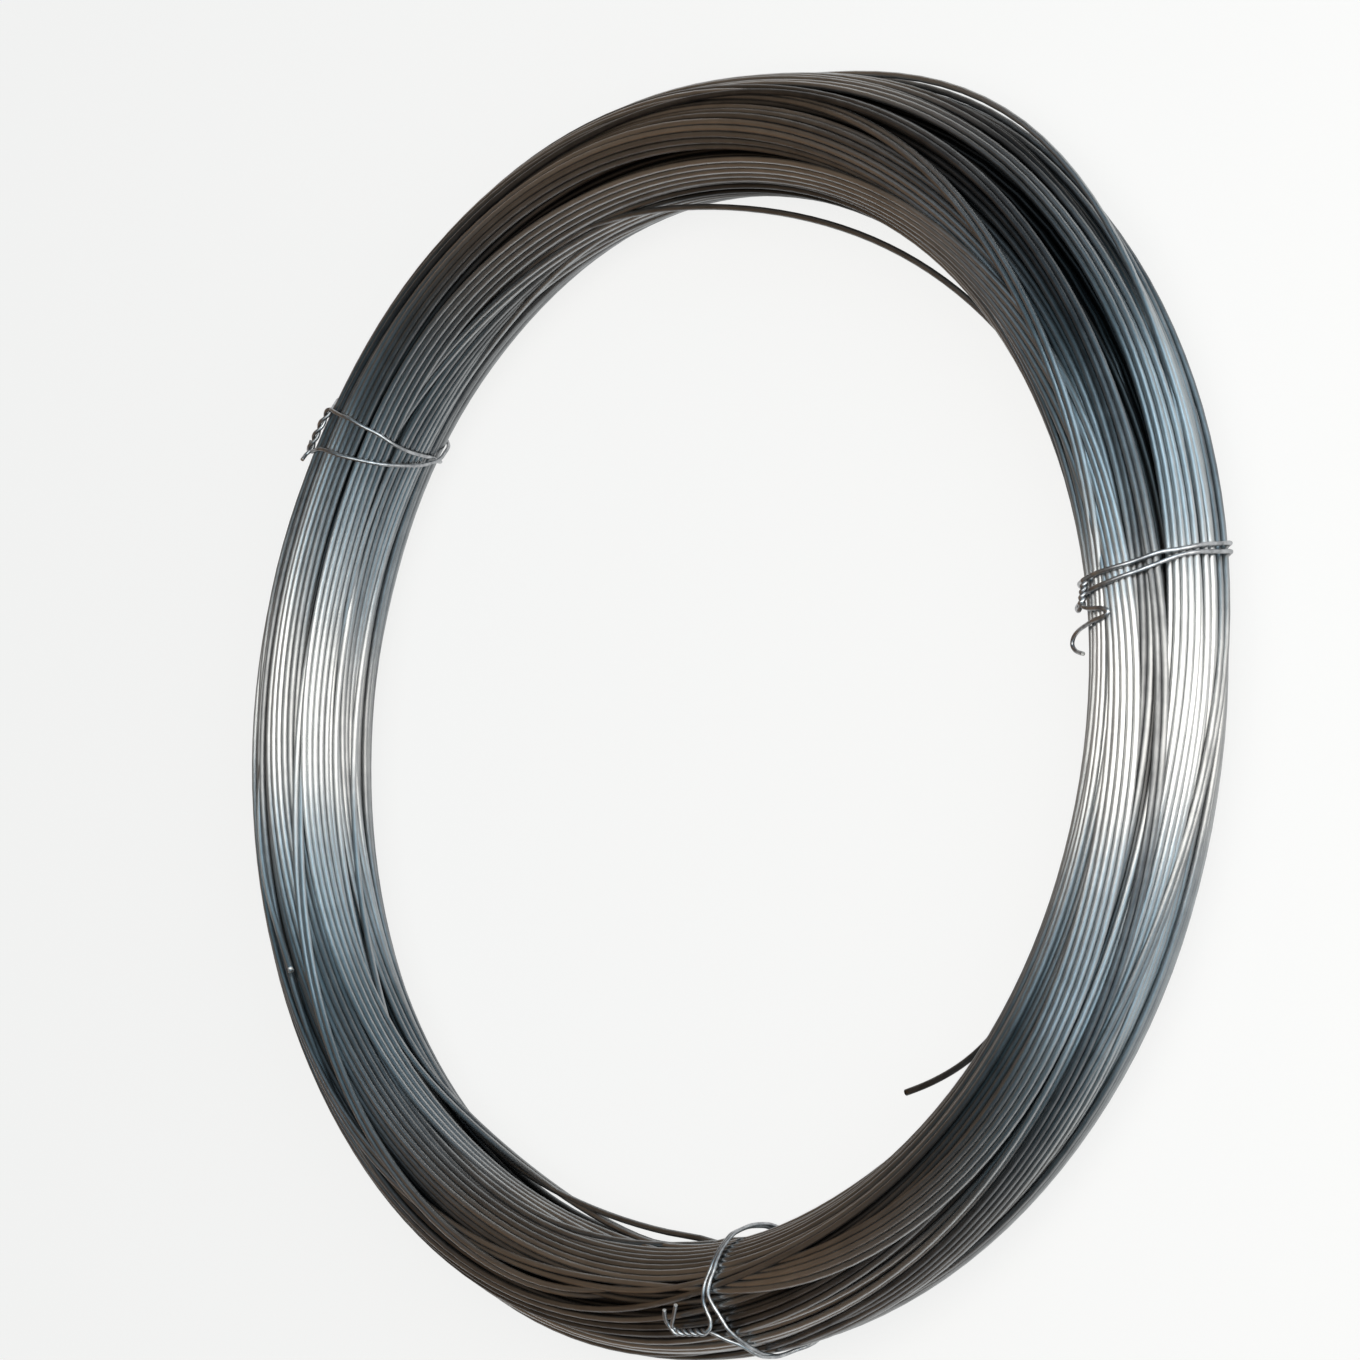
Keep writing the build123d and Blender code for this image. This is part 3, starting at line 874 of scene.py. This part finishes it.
def shearedSteel():
    # bare steel where the wire was sheared off: bright, with the fine steps that the shear leaves
    material = newMaterial("sheared steel")
    place = addNode(material, "ShaderNodeTexCoord")
    steps = addNode(material, "ShaderNodeTexNoise", Vector=place.outputs["Object"],
                    Scale=1 / shearedFace["shearStep"], Detail=3.0)
    colour = addNode(material, "ShaderNodeValToRGB", Fac=steps.outputs["Fac"])
    setShades(colour, shearedFace["shades"])
    relief = addNode(material, "ShaderNodeBump", Height=steps.outputs["Fac"],
                     Strength=shearedFace["relief"], Distance=reliefDepth)
    shader = addNode(material, "ShaderNodeBsdfPrincipled", Metallic=1.0, Roughness=shearedFace["roughness"],
                     Base_Color=colour.outputs[0], Normal=relief.outputs[0])
    addNode(material, "ShaderNodeOutputMaterial", Surface=shader.outputs[0])
    return material


wireFinish = drawnZincSteel()
tieFinish = tieZincIron()
endFinish = shearedSteel()
for tie, piece in zip(ties, tiePieces):
    paintEnds(piece, tieFinish, endFinish)
    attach(piece, "root")
    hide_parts(tie["name"])
paintEnds(endPiece, wireFinish, endFinish)
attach(endPiece, "root")
for piece in pieces:
    piece.data.materials.append(wireFinish)
    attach(piece, "root")
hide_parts("wire_coil")
print("finishes made")

# The camera and the metal see the floor mostly as plain white; other light meets matt paint
floorLook = {
    "reach": 12.0,               # metres to each side
    "paint": "#ececeb",
    "roughness": 0.9,
    "white": "#fbfbfa",
    "whiteShare": 0.85,          # the rest is paint, and shows the coil's shadow
}
floorMesh = bpy.data.meshes.new("floor")
floorCorners = [(-1, -1, 0), (1, -1, 0), (1, 1, 0), (-1, 1, 0)]
floorMesh.from_pydata((np.array(floorCorners) * floorLook["reach"]).tolist(), [], [(0, 1, 2, 3)])
floor = addObject("floor", floorMesh)
floorPaint = newMaterial("matt white floor")
floorShader = addNode(floorPaint, "ShaderNodeBsdfPrincipled", Base_Color=linear(floorLook["paint"]),
                      Roughness=floorLook["roughness"])
floorWhite = addNode(floorPaint, "ShaderNodeEmission", Color=linear(floorLook["white"]), Strength=1.0)
ray = addNode(floorPaint, "ShaderNodeLightPath")
shiny = addNode(floorPaint, "ShaderNodeMath", {"operation": "MAXIMUM"}, _0=ray.outputs["Is Glossy Ray"],
                _1=ray.outputs["Is Transmission Ray"])
seen = addNode(floorPaint, "ShaderNodeMath", {"operation": "MAXIMUM"}, _0=ray.outputs["Is Camera Ray"],
               _1=shiny.outputs[0])
whiteShare = addNode(floorPaint, "ShaderNodeMath", {"operation": "MULTIPLY"}, _0=seen.outputs[0],
                     _1=floorLook["whiteShare"])
floorMix = addNode(floorPaint, "ShaderNodeMixShader", _0=whiteShare.outputs[0], _1=floorShader.outputs[0],
                   _2=floorWhite.outputs[0])
addNode(floorPaint, "ShaderNodeOutputMaterial", Surface=floorMix.outputs[0])
floorMesh.materials.append(floorPaint)


def outFrom(heading, elevation):
    # the direction that many degrees from +X towards +Y, and that many over the floor
    turn, rise = np.radians(heading), np.radians(elevation)
    return np.array([np.cos(rise) * np.cos(turn), np.cos(rise) * np.sin(turn), np.sin(rise)])


def setAt(made, right, up, back, place):
    # a camera or lamp at its place, facing away from the direction of its back
    matrix = np.eye(4)
    matrix[:3, :4] = np.stack([right, up, back, place], -1)
    made.matrix_world = Matrix(matrix.tolist())


# The coil is seen aslant from the +X side, with +Y upwards in the picture
camera = {
    "lens": 116.8,
    "sensor": 36.0,
    "aim": (-0.01241, 0.01292, 0.027),
    "heading": -5.672,           # direction and elevation from the aim to the camera
    "elevation": 45.2659,
    "distance": 1.72954,
}
cameraData = bpy.data.cameras.new("camera")
cameraData.lens = camera["lens"]
cameraData.sensor_width = camera["sensor"]
cameraObject = addObject("camera", cameraData)
back = outFrom(camera["heading"], camera["elevation"])
up = unit(np.cross(back, [1, 0, 0]))
setAt(cameraObject, np.cross(up, back), up, back, np.array(camera["aim"]) + camera["distance"] * back)
bpy.context.scene.camera = cameraObject


# Softboxes: heading and elevation in degrees, watts, metres from the coil, metres wide and high,
# colour. The row over the right side is warm, and the wings and the far side are cool.
softboxes = {
    "right low": (6, 12, 3.9, 1.1, 0.56, 0.49, "#fff6ec"),
    "right middle": (6, 36, 3.9, 1.1, 0.56, 0.49, "#fff6ec"),
    "right high": (6, 60, 4.6, 1.3, 0.66, 0.58, "#fff6ec"),
    "overhead": (6, 84, 5, 1.7, 0.85, 0.75, "#fff6ec"),
    "right wing": (40, 30, 3.0, 1.2, 0.6, 0.65, "#c9e2f1"),
    "left wing": (-30, 30, 2.2, 1.2, 0.6, 0.65, "#c9e2f1"),
    "far side": (102, 47, 1.5, 2.3, 1.3, 0.9, "#d6e2ee"),
}


def addSoftbox(name, heading, elevation, power, distance, width, height, colour):
    # an area lamp that faces the middle of the floor
    lamp = bpy.data.lights.new(name, "AREA")
    lamp.shape = "RECTANGLE"
    lamp.size, lamp.size_y = height, width
    lamp.energy = power
    lamp.color = linear(colour)[:3]
    box = addObject(name, lamp)
    box.visible_camera = False
    out = outFrom(heading, elevation)
    across = unit(np.cross([0, 0, 1], out))
    setAt(box, np.cross(across, out), across, out, out * distance)


for name, settings in softboxes.items():
    addSoftbox(name, *settings)

# What the metal reflects beyond the lamps: dark far behind, warm brown round the sides, and a
# blue that grows lighter towards one direction
studio = {
    "leaning": (0.6, 0.15, 0.786),
    "shades": ((-0.62, "#1e1b19"), (-0.42, "#86674c"), (0.14, "#736353"), (0.28, "#6a5f56"),
               (0.42, "#424648"), (0.56, "#415965"), (0.76, "#547a8c"), (0.95, "#6e95a8")),
}
world = bpy.data.worlds.new("studio")
bpy.context.scene.world = world
world.use_nodes = True
world.node_tree.nodes.clear()
heading = addNode(world, "ShaderNodeTexCoord")
lean = addNode(world, "ShaderNodeVectorMath", {"operation": "DOT_PRODUCT"},
               _0=heading.outputs["Generated"], _1=studio["leaning"])
height = addNode(world, "ShaderNodeMapRange", Value=lean.outputs["Value"], From_Min=-1.0)
sky = addNode(world, "ShaderNodeValToRGB", Fac=height.outputs[0])
setShades(sky, [((where + 1) / 2, shade) for where, shade in studio["shades"]])
air = addNode(world, "ShaderNodeBackground", Color=sky.outputs[0])
addNode(world, "ShaderNodeOutputWorld", Surface=air.outputs[0])
bpy.context.scene.view_settings.view_transform = "Standard"
print("floor, camera and lamps made")
